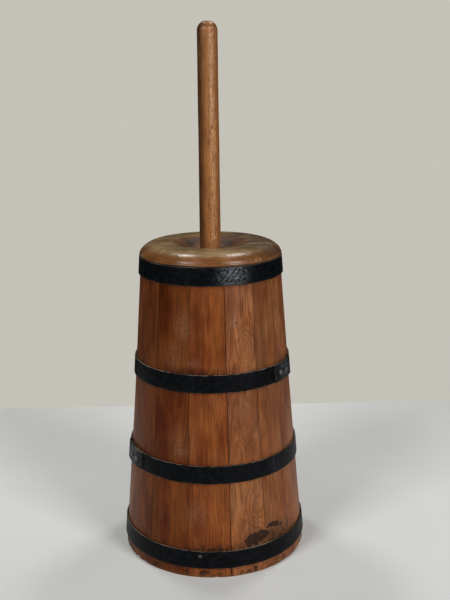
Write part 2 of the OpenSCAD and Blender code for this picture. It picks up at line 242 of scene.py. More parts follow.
class Paint:
    """A node material, built up one call at a time. Inputs may be numbers or sockets."""

    def __init__(self, name):
        self.material = bpy.data.materials.new(name)
        self.material.use_nodes = True
        self.nodes = self.material.node_tree.nodes
        self.links = self.material.node_tree.links
        self.shader = self.nodes["Principled BSDF"]

    def feed(self, socket, value):
        """Links a socket to a value, or sets it if the value is a number, colour or vector."""
        if isinstance(value, bpy.types.NodeSocket):
            self.links.new(value, socket)
        else:
            socket.default_value = value

    def add(self, kind, inputs, output=0, **settings):
        """A new node of a kind, fed from a dict of inputs; returns one of its outputs."""
        node = self.nodes.new("ShaderNode" + kind)
        for name, value in settings.items():
            setattr(node, name, value)
        for socket, value in inputs.items():
            self.feed(node.inputs[socket], value)
        return node.outputs[output]

    def attribute(self, name):
        """The vector that give() stored at each vertex."""
        return self.add("Attribute", {}, "Vector", attribute_name=name)

    def millimetres(self):
        """Place on the object, in mm."""
        return self.vector("MULTIPLY", self.add("TexCoord", {}, "Object"), (1000, 1000, 1000))

    def calc(self, operation, *values):
        return self.add("Math", dict(enumerate(values)), operation=operation)

    def vector(self, operation, a, b):
        return self.add("VectorMath", {0: a, 1: b}, operation=operation)

    def split(self, vector):
        """The three numbers of a vector."""
        first = self.add("SeparateXYZ", {0: vector})
        return tuple(first.node.outputs)

    def join(self, x, y, z):
        return self.add("CombineXYZ", {0: x, 1: y, 2: z})

    def noise(self, place, stretch, detail=2.0, rough=0.5):
        """Noise about 0.5. Stretch is how many lumps fit in a millimetre along each axis."""
        scaled = self.vector("MULTIPLY", place, stretch)
        inputs = {"Vector": scaled, "Scale": 1.0, "Detail": detail, "Roughness": rough}
        return self.add("TexNoise", inputs)

    def spread(self, value, low, high, to_low=0.0, to_high=1.0):
        """Eases from one result to another as the value goes from low to high."""
        inputs = {"Value": value, "From Min": low, "From Max": high, "To Min": to_low, "To Max": to_high}
        return self.add("MapRange", inputs, interpolation_type="SMOOTHSTEP")

    def mix(self, amount, a, b, blend="MIX"):
        """From colour a to colour b as the amount goes from 0 to 1."""
        return self.add("Mix", {0: amount, 6: a, 7: b}, 2, data_type="RGBA", blend_type=blend)

    def lay(self, colour, top, mask, strength):
        """A second colour laid over the first, as strongly as its mask says."""
        return self.mix(self.calc("MULTIPLY", mask, strength), colour, top)

    def shade(self, colour, amount):
        """The colour made darker or brighter, where an amount of 1 leaves it as it is."""
        return self.mix(1.0, colour, self.join(amount, amount, amount), "MULTIPLY")

    def finish(self, colour, roughness, height, depth, specular=0.5):
        """Ends the material. Depth is what a height of 1 stands for, in metres."""
        bump = {"Height": height, "Distance": depth, "Strength": 1.0}
        self.feed(self.shader.inputs["Base Color"], colour)
        self.feed(self.shader.inputs["Roughness"], roughness)
        self.feed(self.shader.inputs["Normal"], self.add("Bump", bump))
        self.shader.inputs["Specular IOR Level"].default_value = specular
        return self.material


def growth(paint, place, pith, spacing):
    """Growth rings, fibres and pores. Place is in mm with Z along the grain.

    Pith has three numbers or sockets: where the log's centre lies across and into the wood,
    and how fast the rings drift along it.
    """
    across, deep, along = paint.split(place)
    pith_x, pith_y, drift = pith
    bend = paint.noise(place, (0.03, 0.03, 0.006), 2.0)
    wave = paint.noise(place, (0.12, 0.12, 0.02), 1.0)
    x = paint.calc("SUBTRACT", across, pith_x)
    y = paint.calc("SUBTRACT", deep, pith_y)
    squares = paint.calc("MULTIPLY_ADD", x, x, paint.calc("MULTIPLY", y, y))
    radius = paint.calc("MULTIPLY_ADD", along, drift, paint.calc("SQRT", squares))
    radius = paint.calc("MULTIPLY_ADD", bend, 26.0, radius)
    radius = paint.calc("MULTIPLY_ADD", wave, 3.0, radius)
    turn = paint.calc("FRACT", paint.calc("DIVIDE", radius, spacing))
    rise = paint.spread(turn, 0.25, 0.88)
    fall = paint.spread(turn, 0.9, 1.0, 1.0, 0.0)
    strength = paint.spread(paint.noise(place, (0.1, 0.1, 0.01), 2.0), 0.3, 0.7, 0.35, 1.0)
    rings = paint.calc("MULTIPLY", paint.calc("MULTIPLY", rise, fall), strength)
    fibres = paint.noise(place, (1.1, 1.1, 0.02), 4.0, 0.65)
    pores = paint.spread(paint.noise(place, (2.6, 2.6, 0.09), 2.0), 0.6, 0.72)
    return rings, fibres, pores


def stave_wood():
    """Reddish stained softwood, scuffed and stained, dark along the joints."""
    paint = Paint("stave_wood")
    place = paint.attribute("grain")
    brightness_and_shade, pale, worn = paint.split(paint.attribute("tone"))
    joint, stain, scuff = paint.split(paint.attribute("mark"))
    rings, fibres, pores = growth(paint, place, paint.split(paint.attribute("pith")), 3.3)

    cloud = paint.spread(paint.noise(place, (0.032, 0.032, 0.011), 3.0, 0.55), 0.34, 0.66)
    colour = paint.mix(cloud, (0.142, 0.025, 0.0036, 1), (0.285, 0.080, 0.016, 1))
    film = paint.spread(paint.noise(place, (0.04, 0.04, 0.014), 3.0, 0.6), 0.36, 0.66, 0.6, 1.35)
    colour = paint.lay(colour, (0.37, 0.190, 0.092, 1), pale, film)
    colour = paint.lay(colour, (0.085, 0.018, 0.004, 1), rings, 0.52)
    patch = paint.spread(paint.noise(place, (0.11, 0.11, 0.02), 4.0, 0.6), 0.3, 0.7, 0.8, 1.16)
    colour = paint.shade(colour, patch)
    tint = paint.spread(fibres, 0.3, 0.7, 0.71, 1.23)
    colour = paint.shade(colour, tint)
    colour = paint.lay(colour, (0.05, 0.014, 0.006, 1), pores, 0.55)
    # Each stave's brightness, partly painted shade on the staves left of the front.
    colour = paint.shade(colour, brightness_and_shade)

    streak = paint.noise(place, (0.5, 0.5, 0.12), 5.0, 0.75)
    scratch = paint.noise(place, (0.9, 0.9, 0.45), 3.0, 0.7)
    rubbed = paint.calc("MULTIPLY", scuff, paint.spread(scratch, 0.42, 0.68))
    colour = paint.lay(colour, (0.38, 0.22, 0.145, 1), rubbed, 0.5)
    blot = paint.noise(place, (0.17, 0.17, 0.14), 5.0, 0.68)
    ragged = paint.calc("MULTIPLY_ADD", paint.calc("SUBTRACT", blot, 0.5), 2.0, stain)
    thin = paint.spread(scratch, 0.3, 0.6, 0.98, 0.84)
    soaked = paint.calc("MULTIPLY", paint.spread(ragged, 0.34, 0.6), thin)
    colour = paint.mix(soaked, colour, (0.014, 0.0075, 0.006, 1))
    # Dark joints, and darker at the edges of the hoops.
    grime = paint.calc("MULTIPLY", joint, paint.spread(blot, 0.35, 0.62, 0.35, 1.0))
    colour = paint.mix(grime, colour, (0.016, 0.007, 0.004, 1))
    bare = paint.calc("MULTIPLY", worn, paint.spread(streak, 0.35, 0.62))
    colour = paint.lay(colour, (0.185, 0.082, 0.030, 1), bare, 0.45)

    rough = paint.spread(paint.calc("ADD", fibres, rubbed), 0.3, 1.2, 0.36, 0.62)
    height = paint.calc("MULTIPLY_ADD", rings, -0.35, fibres)
    height = paint.calc("MULTIPLY_ADD", pores, -0.5, height)
    return paint.finish(colour, rough, height, 0.22 * MM, 0.1)


def plain_wood(name, axes, start, pith, spacing, roughness, depth):
    """Wood of a piece whose grain isn't followed by an attribute.

    Axes says which of the object's axes go across, into and along the wood, and start moves
    the grain, in mm, so that no two boards look alike.
    """
    paint = Paint(name)
    sides = paint.split(paint.vector("ADD", paint.millimetres(), start))
    place = paint.join(*(sides["XYZ".index(axis)] for axis in axes))
    rings, fibres, pores = growth(paint, place, pith, spacing)
    dark, light, ring = (0.12, 0.048, 0.018, 1), (0.21, 0.092, 0.036, 1), (0.055, 0.018, 0.006, 1)
    cloud = paint.noise(place, (0.035, 0.035, 0.014), 3.0, 0.55)
    colour = paint.mix(paint.spread(cloud, 0.3, 0.7), dark, light)
    colour = paint.lay(colour, ring, rings, 0.5)
    colour = paint.shade(colour, paint.spread(fibres, 0.25, 0.75, 0.78, 1.2))
    colour = paint.lay(colour, ring, pores, 0.5)
    rough = paint.spread(fibres, 0.3, 0.7, roughness - 0.05, roughness + 0.08)
    height = paint.calc("MULTIPLY_ADD", pores, -0.5, fibres)
    return paint.finish(colour, rough, height, depth)


def lid_wood():
    """Reddish wood, with a pale brown painted reflection on the crest, painted shade in the dish, and
    darker to the right.
    """
    paint = Paint("lid_wood")
    x, y, z = paint.split(paint.millimetres())
    place = paint.join(y, z, x)
    crest, dark, chip = paint.split(paint.attribute("painted_light_and_chips"))
    rings, fibres, pores = growth(paint, place, (6.0, 330.0, 0.02), 2.6)
    cloud = paint.spread(paint.noise(place, (0.05, 0.05, 0.025), 3.0, 0.6), 0.34, 0.66)
    colour = paint.mix(cloud, (0.165, 0.062, 0.018, 1), (0.235, 0.098, 0.032, 1))
    # The pale brown of the crest is a painted reflection.
    painted_light_and_marks = paint.mix(cloud, (0.205, 0.122, 0.047, 1), (0.325, 0.212, 0.103, 1))
    colour = paint.mix(crest, colour, painted_light_and_marks)
    blot = paint.noise(place, (0.07, 0.07, 0.04), 4.0, 0.6)
    # Painted shade in the dish, and darker to the right.
    shade = paint.calc("MULTIPLY", dark, paint.spread(blot, 0.4, 0.62, 1.0, 0.3))
    colour = paint.lay(colour, (0.040, 0.018, 0.009, 1), shade, 0.86)
    colour = paint.lay(colour, (0.085, 0.036, 0.013, 1), rings, 0.3)
    tint = paint.spread(fibres, 0.25, 0.75, 0.8, 1.18)
    colour = paint.shade(colour, tint)
    colour = paint.lay(colour, (0.06, 0.025, 0.01, 1), pores, 0.35)
    colour = paint.lay(colour, (0.52, 0.42, 0.33, 1), chip, 0.8)
    rough = paint.spread(paint.calc("ADD", cloud, fibres), 0.4, 1.6, 0.18, 0.30)
    rough = paint.calc("MULTIPLY_ADD", dark, 0.3, rough)
    height = paint.calc("MULTIPLY_ADD", pores, -0.5, fibres)
    return paint.finish(colour, rough, height, 0.05 * MM, 0.45)


def staff_wood():
    """Pale orange wood, flecked dark, with painted shade down one side and painted light and glints down
    the other, grimy at its top and the lid.
    """
    paint = Paint("staff_wood")
    place = paint.millimetres()
    shade, lit, grime = paint.split(paint.attribute("painted_light_and_marks"))
    rings, fibres, pores = growth(paint, place, (30.0, 42.0, 0.012), 2.6)
    cloud = paint.spread(paint.noise(place, (0.08, 0.08, 0.014), 3.0, 0.6), 0.34, 0.66)
    colour = paint.mix(cloud, (0.22, 0.074, 0.017, 1), (0.375, 0.148, 0.041, 1))
    colour = paint.lay(colour, (0.17, 0.055, 0.012, 1), rings, 0.4)
    tint = paint.spread(fibres, 0.3, 0.7, 0.66, 1.3)
    colour = paint.shade(colour, tint)
    # Painted shade down the left side.
    side = paint.calc("MULTIPLY_ADD", shade, -0.7, 1.0)
    colour = paint.shade(colour, side)
    # Painted light and painted glints down the right side.
    colour = paint.lay(colour, (0.55, 0.24, 0.08, 1), lit, 0.3)
    fleck = paint.spread(paint.noise(place, (0.75, 0.75, 0.1), 4.0, 0.65), 0.53, 0.64)
    colour = paint.lay(colour, (0.12, 0.038, 0.009, 1), fleck, 0.72)
    painted_glint = paint.spread(paint.noise(place, (0.8, 0.8, 0.18), 5.0, 0.75), 0.5, 0.62)
    painted_glint = paint.calc("MULTIPLY", painted_glint, paint.spread(lit, 0.9, 1.0))
    colour = paint.lay(colour, (0.86, 0.50, 0.23, 1), painted_glint, 0.62)
    blot = paint.noise(place, (0.35, 0.35, 0.2), 3.0, 0.6)
    dirty = paint.calc("MULTIPLY", grime, paint.spread(blot, 0.35, 0.6, 0.35, 1.0))
    colour = paint.lay(colour, (0.05, 0.022, 0.010, 1), dirty, 0.8)
    rough = paint.spread(paint.calc("ADD", fibres, fleck), 0.3, 1.3, 0.24, 0.46)
    height = paint.calc("MULTIPLY_ADD", fleck, -0.6, paint.calc("MULTIPLY_ADD", pores, -0.4, fibres))
    return paint.finish(colour, rough, height, 0.22 * MM, 0.4)


def hoop_iron():
    """Black paint on rolled iron, lumpy and satin, rubbed off along the edges, with grey patches that are
    partly a painted highlight.
    """
    paint = Paint("hoop_iron")
    place = paint.attribute("strap")
    across, end = paint.split(place)[1:]
    lump = paint.noise(place, (0.16, 0.2, 0.16), 3.0, 0.55)
    fine = paint.noise(place, (1.3, 1.6, 1.3), 3.0, 0.6)
    side = paint.calc("MINIMUM", across, paint.calc("SUBTRACT", STRAP_W / MM, across))
    side = paint.calc("MINIMUM", side, end)
    patchy = paint.calc("MULTIPLY_ADD", paint.noise(place, (0.09, 0.6, 0.09), 4.0, 0.7), 2.6, side)
    rubbed = paint.spread(patchy, 1.25, 1.75, 1.0, 0.0)
    shiny = paint.spread(lump, 0.35, 0.7)
    colour = paint.mix(shiny, (0.0016, 0.0020, 0.0028, 1), (0.005, 0.0058, 0.0075, 1))
    # Grey patches, partly a painted highlight and partly worn paint.
    worn, shut = paint.split(paint.attribute("painted_light_and_marks"))[:2]
    patchy_highlight_and_wear = paint.spread(paint.noise(place, (0.2, 0.24, 0.2), 5.0, 0.72), 0.38, 0.78)
    highlight_and_wear = paint.calc("MULTIPLY", worn, patchy_highlight_and_wear)
    colour = paint.mix(highlight_and_wear, colour, (0.27, 0.29, 0.33, 1))
    colour = paint.lay(colour, (0.19, 0.16, 0.13, 1), rubbed, shut)
    rough = paint.spread(fine, 0.3, 0.75, 0.32, 0.52)
    height = paint.calc("MULTIPLY_ADD", fine, 0.3, lump)
    return paint.finish(colour, rough, height, 0.6 * MM, 0.06)


def rivet_iron():
    """Hammered heads, black in the hollows and rubbed grey on top, the grey partly a painted glint."""
    paint = Paint("rivet_iron")
    place = paint.millimetres()
    top = paint.split(paint.attribute("rub_and_glint"))[0]
    lump = paint.noise(place, (0.5, 0.5, 0.5), 3.0, 0.6)
    bare = paint.spread(paint.calc("MULTIPLY_ADD", lump, 1.5, top), 1.5, 1.95)
    colour = paint.mix(bare, (0.006, 0.0068, 0.008, 1), (0.23, 0.23, 0.235, 1))
    rough = paint.spread(lump, 0.3, 0.7, 0.34, 0.55)
    paint.feed(paint.shader.inputs["Metallic"], paint.calc("MULTIPLY", bare, 0.6))
    return paint.finish(colour, rough, lump, 0.5 * MM)


# ---------------------------------------------------------------- tub

# Dark stains on the staves: direction, height, half width, half height (mm) and strength.
STAINS = [
    (26, 49, 9, 10, 1.4), (31, 52, 8, 8, 1.2), (40, 61, 6, 5, 1.2), (45, 56, 7, 4, 0.7),
    (21, 42, 4, 5, 0.8), (18, 349, 2.4, 3.6, 0.75), (-7, 7, 4, 7, 0.9), (-18, 5, 3, 8, 0.8),
    (16, 4, 3, 4, 0.7), (-40, 6, 5, 6, 0.7), (150, 6, 6, 7, 0.8), (-120, 5, 5, 8, 0.8),
]
# Soft dark patches on the staves round the upper edge of a hoop: the hoop, counted from 0 at the bottom,
# the direction, half width, half height (mm) and strength.
DARK_ABOVE_HOOPS = [
    (0, 4, 30, 15, 1.0), (0, 40, 30, 34, 0.9), (0, 140, 30, 16, 0.8), (2, -10, 34, 12, 0.9),
    (1, -60, 24, 9, 0.5), (3, 120, 30, 9, 0.5),
]
# Pale rubbed places on the staves, listed like the stains.
SCUFFS = [
    (-21, 345, 10, 30, 1.1), (-28, 315, 6, 12, 1.0), (-14, 296, 10, 9, 1.0), (-30, 300, 12, 30, 0.6),
    (17, 350, 7, 12, 1.2), (20, 385, 12, 20, 0.35), (4, 244, 12, 12, 0.4), (-12, 90, 12, 24, 0.7),
    (-22, 176, 11, 14, 1.0), (-22, 190, 16, 34, 0.45), (22, 100, 18, 24, 0.3), (45, 180, 20, 60, 0.35),
    (60, 330, 14, 70, 0.35), (150, 260, 30, 80, 0.5), (-120, 130, 26, 60, 0.5), (100, 90, 20, 40, 0.5),
]
# Places where the growth rings bend round a hidden knot, listed like the stains, but the last
# number is how far they bend (mm).
SWIRLS = [
    (25, 312, 9, 42, 15), (23, 212, 9, 36, 12), (-13, 84, 10, 40, 11), (27, 92, 10, 34, 9),
    (-3, 205, 8, 30, 7), (165, 300, 14, 50, 14), (-100, 200, 14, 46, 13), (95, 150, 12, 44, 12),
]


def edges_of(node):
    """Directions of the left and right edges of a CAD node, seen from the axis."""
    places = [v.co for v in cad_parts[node].data.vertices]
    middle = sum(places, Vector())
    centre = direction_of(middle)
    turns = [(direction_of(p) - centre + 180) % 360 - 180 for p in places]
    return centre + min(turns), centre + max(turns)


def stave_heights():
    """Heights of the rows of points up a stave, close together at its ends and groove."""
    groove_low = HEAD_TOP - GROOVE_H
    ends = [0, 0.25, 0.7, 1.4, 2.3, 4, 6]
    rows = [z * MM for z in ends] + [TUB_H - z * MM for z in ends]
    rows += [groove_low - 0.02 * MM, groove_low + 0.02 * MM, HEAD_TOP - 0.02 * MM, HEAD_TOP + 0.02 * MM]
    between = [z * MM for z in range(9, 419, 4)]
    rows += [z for z in between if min(abs(z - groove_low), abs(z - HEAD_TOP)) > MM]
    return sorted(rows)


def inner_r(z):
    """Radius of the inside of the wall, with its groove and its bevelled ends."""
    radius = outer_r(z) - WALL
    if HEAD_TOP - GROOVE_H < z < HEAD_TOP:
        radius += GROOVE_DEPTH
    return radius + max(FOOT_BEVEL - z, 0.0) + max(END_ROUND - (TUB_H - z), 0.0)


def foot_wear(place):
    """How far the outer edge of the foot is rounded over, with a chip here and there."""
    worn = 2.0 * MM + 1.6 * MM * lumps(place, 26 * MM, 3)
    chip = max(lumps(place, 7 * MM, 4) - 0.32, 0.0) * 9 * MM
    return max(worn, 0.9 * MM) + chip


def stain_at(degrees, z):
    """Dark stains, and the damp foot of the staves, from 0 upward."""
    high = z / MM
    patch = max(
        strength * ease(1.2 - math.hypot((degrees - centre) / width, (high - height) / tall))
        for centre, height, width, tall, strength in STAINS
    )
    foot = 0.47 * ease(1 - (high - 6) / 9) * (0.6 + lumps(Vector((degrees, high / 20, 0)), 7, 3))
    return max(patch, foot)


def scuff_at(degrees, z):
    """Pale rubbed places, from 0 upward."""
    return max(
        strength * ease(1 - abs(degrees - centre) / width) * ease(1 - abs(z / MM - height) / tall)
        for centre, height, width, tall, strength in SCUFFS
    )


def swirl_at(degrees, z):
    """How far the growth rings bend round a hidden knot, in mm."""
    return sum(
        amount * ease(1 - math.hypot((degrees - centre) / width, (z / MM - height) / tall))
        for centre, height, width, tall, amount in SWIRLS
    )


def hoop_edge_dark(degrees, z):
    """How much darker the staves are at the edges of the hoops and in patches above them, from 0 to 1."""
    gaps = [min(abs(z - low), abs(z - low - STRAP_W)) for low in HOOP_LOWS]
    above = [(z - low - STRAP_W) / MM for low in HOOP_LOWS]
    dark_patch = max(
        strength * ease(1.2 - abs(degrees - centre) / width) * ease(1 - abs(above[nth]) / tall)
        for nth, centre, width, tall, strength in DARK_ABOVE_HOOPS
    )
    return max(0.42 * ease(1 - min(gaps) / (5 * MM)), dark_patch)


def beside_gap(name, s):
    """True beside the joint that has shrunk open, which lies between staves 2 and 3."""
    return (name == "stave_2" and s > 0) or (name == "stave_3" and s < 0)


def ring_spots(half):
    """Distances across the outside of a stave from its middle, close together at its edges."""
    beside, inside = [0, 0.12, 0.35, 0.8, 1.8], 9
    flat = half - beside[-1] * MM
    spots = [-half + e * MM for e in beside]
    spots += [-flat + 2 * flat * i / inside for i in range(1, inside)]
    return spots + [half - e * MM for e in reversed(beside)]


def stave_dip(place, off, seed):
    """How far the outside lies below its plain outline, at a distance from the stave's joint."""
    dip = rounding(off, EDGE_ROUND * (1 + 0.5 * lumps(place, 30 * MM, seed)))
    dip += 0.22 * MM * (0.6 + lumps(place, 55 * MM, seed + 20))
    dip += 0.05 * MM * (1 + lumps(Vector((place.x, place.y, place.z * 0.1)), 3 * MM, 9))
    return dip + rounding(place.z, foot_wear(place)) + rounding(TUB_H - place.z, END_ROUND)


def stave_ring(name, middle, half, z, seed):
    """One ring of points round a stave, as (distance across, radius)."""
    open_half = GAP_W / 2 * max(1 - z / GAP_H, 0.25)
    outside, within = [], []
    for s in ring_spots(half):
        place = at(middle + math.degrees(s / outer_r(z)), outer_r(z), z)
        off = half - abs(s)
        pull = open_half * ease(1 - off / (6 * MM)) if beside_gap(name, s) else 0.0
        radius = max(outer_r(z) - stave_dip(place, off, seed), inner_r(z) + 0.5 * MM)
        outside.append((s - math.copysign(pull, s), radius))
        within.append((s, inner_r(z)))
    return outside + within[::-1]


def stave_marks(at_gap, off, degrees, z, outside_face):
    """Dirt in the joints, darkening at the edges of the hoops, stains and scuffs, each from 0 upward."""
    joint = ease(1 - off / (0.9 * MM)) * (0.95 if at_gap else 0.4)
    joint += 0.1 * ease(1 - off / (4.5 * MM))
    joint = max(joint, hoop_edge_dark(degrees, z))
    return joint, stain_at(degrees, z) * outside_face, scuff_at(degrees, z) * outside_face


def stave(index, brightness_and_shade, pale, pith):
    """One stave: slightly uneven outside, rounded at its joints, worn at its foot."""
    name = f"stave_{index}"
    left, right = edges_of(name)
    middle, shift = (left + right) / 2, 500 * index
    points, grain, mark, tone, log = [], [], [], [], []
    rows = stave_heights()
    for z in rows:
        half = math.radians(right - left) / 2 * outer_r(z) - 0.03 * MM
        ring = stave_ring(name, middle, half, z, index)
        for s, radius in ring:
            degrees = middle + math.degrees(s / outer_r(z))
            turned_to = (degrees + 180) % 360 - 180
            depth = (outer_r(z) - radius) / MM
            outside_face = ease(1 - depth / 4)
            points.append(at(degrees, radius, z))
            grain.append((s / MM + shift, depth, z / MM))
            mark.append(stave_marks(beside_gap(name, s), half - abs(s), turned_to, z, outside_face))
            tone.append((brightness_and_shade, pale, ease(1 - z / (11 * MM)) * outside_face))
            log.append((pith[0] + shift, pith[1] + swirl_at(turned_to, z), pith[2]))
    around = len(ring)
    faces = skin(len(rows), around, False)
    top = (len(rows) - 1) * around
    for j in range(around // 2 - 1):
        k = around - 1 - j
        faces.append((j + 1, j, k, k - 1))
        faces.append((top + j, top + j + 1, top + k - 1, top + k))
    piece = new_piece(name, points, faces, STAVE_WOOD, TUB, [name])
    give(piece, "grain", grain)
    give(piece, "mark", mark)
    give(piece, "tone", tone)
    give(piece, "pith", log)


def strap_section():
    """Outline of the strap as (across, depth) in metres, with rounded edges."""
    r = 0.6 * MM
    outline = [(STRAP_W * i / 4, 0.0) for i in range(1, 4)]
    outline += arc((STRAP_W - r, r), r, -90, 0, 3) + arc((STRAP_W - r, STRAP_T - r), r, 0, 90, 3)
    outline += [(STRAP_W - r - (STRAP_W - 2 * r) * i / 8, STRAP_T) for i in range(1, 8)]
    outline += arc((r, STRAP_T - r), r, 90, 180, 3) + arc((r, r), r, 180, 270, 3)
    return outline


def highlight_and_wear_at(name, p, low, from_end):
    """How strong the grey painted highlight and worn paint are, and how far the paint's edges are rubbed
    bare.
    """
    turned_to = direction_of(p)
    # The grey is strongest along the middle of the strap, where the painted highlight lies.
    inward = ease(1.3 - 1.6 * abs((p.z - low) / STRAP_W - 0.55))
    highlight_and_wear = max(
        strength * ease(1 - abs(turned_to - centre) / width) for centre, width, strength in HIGHLIGHTS_AND_WEAR[name]
    )
    bare = 0.2 + 0.8 * ease(lumps(p, 38 * MM, 14) + 0.5)
    return (highlight_and_wear * inward, bare * (0.25 + 0.75 * ease(from_end / 4)), 0)


def hoop(name, end, side):
    """A strap bent round the tub, whose outer end lies over its inner end."""
    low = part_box(name)[0].z
    outline = strap_section()
    step, tip, end_angle = 0.75, 0.2, 360 + LAP
    between = [step * i for i in range(1, int(end_angle / step))]
    angles = [0, tip] + between + [end_angle - tip, end_angle]
    points, strap, painted_light_and_marks = [], [], []
    for i, angle in enumerate(angles):
        from_end = math.radians(min(angle, end_angle - angle)) * outer_r(low) / MM
        layer = 1 - ease((angle - LAP) / LAP_RAMP)
        shrink = 0.35 * MM if i in (0, len(angles) - 1) else 0.0
        for across, depth in outline:
            place = at(angle, BASE_R, across)
            outer = depth / STRAP_T
            uneven = 0.2 * MM * (min(lumps(place, 11 * MM, 100 * low), 0.3) - 0.5) * outer
            waver = 0.22 * MM * lumps(Vector((place.x, place.y, round(across / STRAP_W))), 17 * MM, 5)
            inset = shrink * (1 - 2 * across / STRAP_W)
            z = low + across + waver + inset
            radius = outer_r(z) + STRAP_PLAY + layer * STRAP_T + depth + uneven - shrink * outer
            points.append(at(end + side * angle, radius, z))
            strap.append((math.radians(angle) * BASE_R / MM, across / MM, min(from_end, 60.0)))
            painted_light_and_marks.append(highlight_and_wear_at(name, points[-1], low, from_end))
    around = len(outline)
    faces = skin(len(angles), around, False)
    last = (len(angles) - 1) * around
    faces.append(tuple(range(around))[::-1])
    faces.append(tuple(last + j for j in range(around)))
    if side < 0:
        faces = [face[::-1] for face in faces]
    piece = new_piece(name, points, faces, HOOP_IRON, TUB, [name])
    give(piece, "strap", strap)
    give(piece, "painted_light_and_marks", painted_light_and_marks)


def pinned(shapes):
    """Turned pins set into the tub. Each shape is (direction, height, seat, seed, profile in mm)."""
    points, faces, rub_and_glint = [], [], []
    for degrees, z, seat, seed, profile in shapes:
        taper = math.atan(slope_at(z))
        out = at(degrees, math.cos(taper), math.sin(taper))
        beside = at(degrees + 90, 1, 0)
        up = out.cross(beside)
        foot = at(degrees, outer_r(z), z) + out * seat
        sized = [(r * MM, high * MM) for r, high in profile]
        tall = max(high for _, high in sized)

        def beaten(p):
            flat = 1 + 0.07 * lumps(Vector((p.x, p.y, seed)), 3 * MM, seed)
            return Vector((p.x * flat, p.y * flat, p.z + 0.12 * MM * lumps(p, 2.5 * MM, seed)))

        local, skin_faces = turned(sized, 28, beaten)
        first = len(points)
        faces += [tuple(first + k for k in face) for face in skin_faces]
        points += [foot + beside * p.x + up * p.y + out * p.z for p in local]
        rub_and_glint += [(ease(p.z / tall), 0, 0) for p in local]
    return points, faces, rub_and_glint


def rivets(name, hoop_name, end, side):
    """The two flat-headed rivets through a hoop's lap."""
    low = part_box(hoop_name)[0].z
    seat = 2 * STRAP_T * math.cos(math.atan(slope_at(low))) + STRAP_PLAY
    profile = [
        (0, -4.6), (2.2, -4.6), (2.2, -0.2), (3.9, -0.15), (4.0, 0.1), (3.85, 0.5), (3.4, 0.85),
        (2.6, 1.08), (1.7, 1.17), (0.8, 1.2), (0, 1.2),
    ]
    shapes = [
        (end + side * a, low + STRAP_W / 2, seat, i + end / 9, profile)
        for i, a in enumerate(RIVET_AT)
    ]
    points, faces, rub_and_glint = pinned(shapes)
    piece = new_piece(name, points, faces, RIVET_IRON, TUB, [name], 60)
    give(piece, "rub_and_glint", rub_and_glint)


def nail():
    """The nail through the bottom hoop, with a painted glint only on the top of its head."""
    seat = STRAP_T * math.cos(math.atan(slope_at(NAIL_Z))) + STRAP_PLAY
    profile = [
        (0, -9), (0.4, -8.6), (1.15, -7), (1.2, -0.2), (2.7, -0.15), (2.8, 0.1), (2.6, 0.45),
        (1.9, 0.75), (0.9, 0.86), (0, 0.88),
    ]
    points, faces, rub_and_glint = pinned([(NAIL_AT, NAIL_Z, seat, 2.5, profile)])
    piece = new_piece("hoop_nail", points, faces, RIVET_IRON, TUB, ["hoop_nail"], 60)
    # Only the very top of the head gets the painted glint.
    give(piece, "rub_and_glint", [(ease((top - 0.9) / 0.1), 0, 0) for top, _, _ in rub_and_glint])


# ---------------------------------------------------------------- lid and dasher


def lid_outline():
    """Section of the turned lid, anticlockwise from the top of the staff's hole."""
    under = TUB_H + LID_PLAY
    bead = (LID_R - BEAD_R, under + BEAD_R)
    shoulder_z = LID_TOP - SHOULDER_H
    reach = SHOULDER_W - SHOULDER_R
    wide = (reach**2 + SHOULDER_H**2 - SHOULDER_R**2) / (2 * (SHOULDER_H - SHOULDER_R))
    steep = math.degrees(math.atan2(wide - SHOULDER_H, reach))
    turn = (LIP_R - LIP_CURVE * math.sin(DISH_SLOPE), LID_TOP - LIP_CURVE * (1 - math.cos(DISH_SLOPE)))
    hollow = (turn[0] - DISH_CURVE * math.sin(DISH_SLOPE), turn[1] + DISH_CURVE * math.cos(DISH_SLOPE))
    slope = math.degrees(DISH_SLOPE)
    edge, small = 1.2 * MM, 0.8 * MM
    hollow_end = math.degrees(math.acos((HOLE_R + edge - hollow[0]) / DISH_CURVE))
    hole_top = hollow[1] - DISH_CURVE * math.sin(math.radians(hollow_end))

    profile = line((HOLE_R, hole_top - edge), (HOLE_R, LID_LOW), 8)
    profile += arc((HOLE_R + small, LID_LOW + small), small, 180, 270, 4)
    profile += line((HOLE_R + small, LID_LOW), (PLUG_R - 1.5 * MM, LID_LOW), 16)
    profile += arc((PLUG_R - 1.5 * MM, LID_LOW + 1.5 * MM), 1.5 * MM, -90, 0, 5)
    profile += line((PLUG_R, LID_LOW + 1.5 * MM), (PLUG_R, under), 6)
    profile += [(PLUG_R, under - 0.02 * MM), (PLUG_R + 0.02 * MM, under)]
    profile += line((PLUG_R, under), (bead[0], under), 6)
    profile += arc(bead, BEAD_R, -90, 62, 14)
    profile += arc((SHOULDER_X + reach, shoulder_z), SHOULDER_R, 8, steep, 14)
    profile += arc((SHOULDER_X, LID_TOP - wide), wide, steep, 90, 22)[1:]
    profile += line((SHOULDER_X, LID_TOP), (LIP_R, LID_TOP), 5)
    profile += arc((LIP_R, LID_TOP - LIP_CURVE), LIP_CURVE, 90, 90 + slope, 24)
    profile += arc(hollow, DISH_CURVE, slope - 90, -hollow_end, 16)[1:]
    profile += arc((HOLE_R + edge, hole_top - edge), edge, 90, 180, 5)
    return profile


